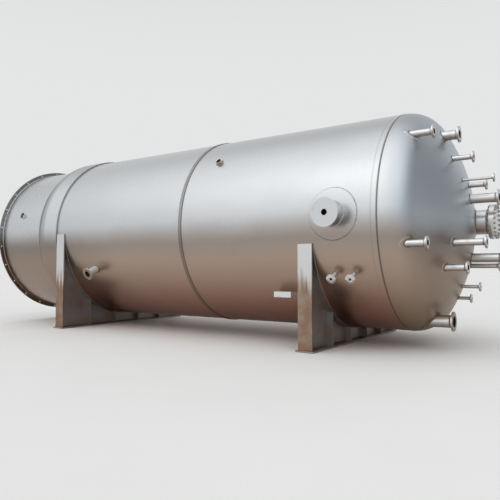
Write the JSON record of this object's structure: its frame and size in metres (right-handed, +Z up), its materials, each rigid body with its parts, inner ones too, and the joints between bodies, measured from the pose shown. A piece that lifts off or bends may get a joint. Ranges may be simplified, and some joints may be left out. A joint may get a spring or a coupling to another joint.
{
  "type": "stainless steel pressure vessel",
  "caption": "Large stainless steel pressure vessel lying on transport saddles, with dished heads, flanged nozzles, lifting trunnions and a support skirt.",
  "frame": {"origin": "on the ground, midway along the overall length and in the vessel's middle plane", "axes": "+X along the vessel to its nozzle head, +Z up"},
  "size_m": [12.0156, 4.6, 4.305],
  "materials": {
    "shell_plate": "satin rolled plate, brushed along the seams",
    "head_plate": "satin spun plate",
    "ring_plate": "dull cut plate",
    "skirt_plate": "satin rolled plate",
    "nozzle_pipe": "bright pickled pipe and turned flange",
    "fitting_plate": "satin plate",
    "saddle_plate": "bright plate with brown stains"
  },
  "bodies": {
    "root": {"front_shell_course": "shell_plate", "rear_shell_course": "shell_plate", "nozzle_head": "head_plate", "head_nozzle_pads": "head_plate", "skirt_head": "head_plate", "girth_ring": "ring_plate", "step_ring": "ring_plate", "skirt_base_ring": "ring_plate", "skirt": "skirt_plate", "skirt_vent": "skirt_plate", "upper_outer_nozzle": "nozzle_pipe", "side_outer_nozzle": "nozzle_pipe", "drain_nozzle": "nozzle_pipe", "top_nozzle": "nozzle_pipe", "high_nozzle": "nozzle_pipe", "thermowell_nozzle": "nozzle_pipe", "vent_nozzle": "nozzle_pipe", "vapour_nozzle": "nozzle_pipe", "near_nozzle": "nozzle_pipe", "near_low_nozzle": "nozzle_pipe", "far_nozzle": "nozzle_pipe", "far_low_nozzle": "nozzle_pipe", "low_nozzle": "nozzle_pipe", "bottom_nozzle": "nozzle_pipe", "manway_neck": "nozzle_pipe", "manway_cover": "nozzle_pipe", "side_nozzle": "nozzle_pipe", "gauge_nozzles": "nozzle_pipe", "shell_coupling": "nozzle_pipe", "platform_cleat": "fitting_plate", "trunnion_pads": "fitting_plate", "trunnion_pipes": "fitting_plate", "trunnion_end_plates": "fitting_plate", "front_saddle_base": "saddle_plate", "front_saddle_web": "saddle_plate", "front_saddle_ribs": "saddle_plate", "front_saddle_end_plates": "saddle_plate", "front_saddle_cradle": "saddle_plate", "rear_saddle_base": "saddle_plate", "rear_saddle_web": "saddle_plate", "rear_saddle_ribs": "saddle_plate", "rear_saddle_end_plates": "saddle_plate", "rear_saddle_cradle": "saddle_plate"}
  },
  "joints": []
}
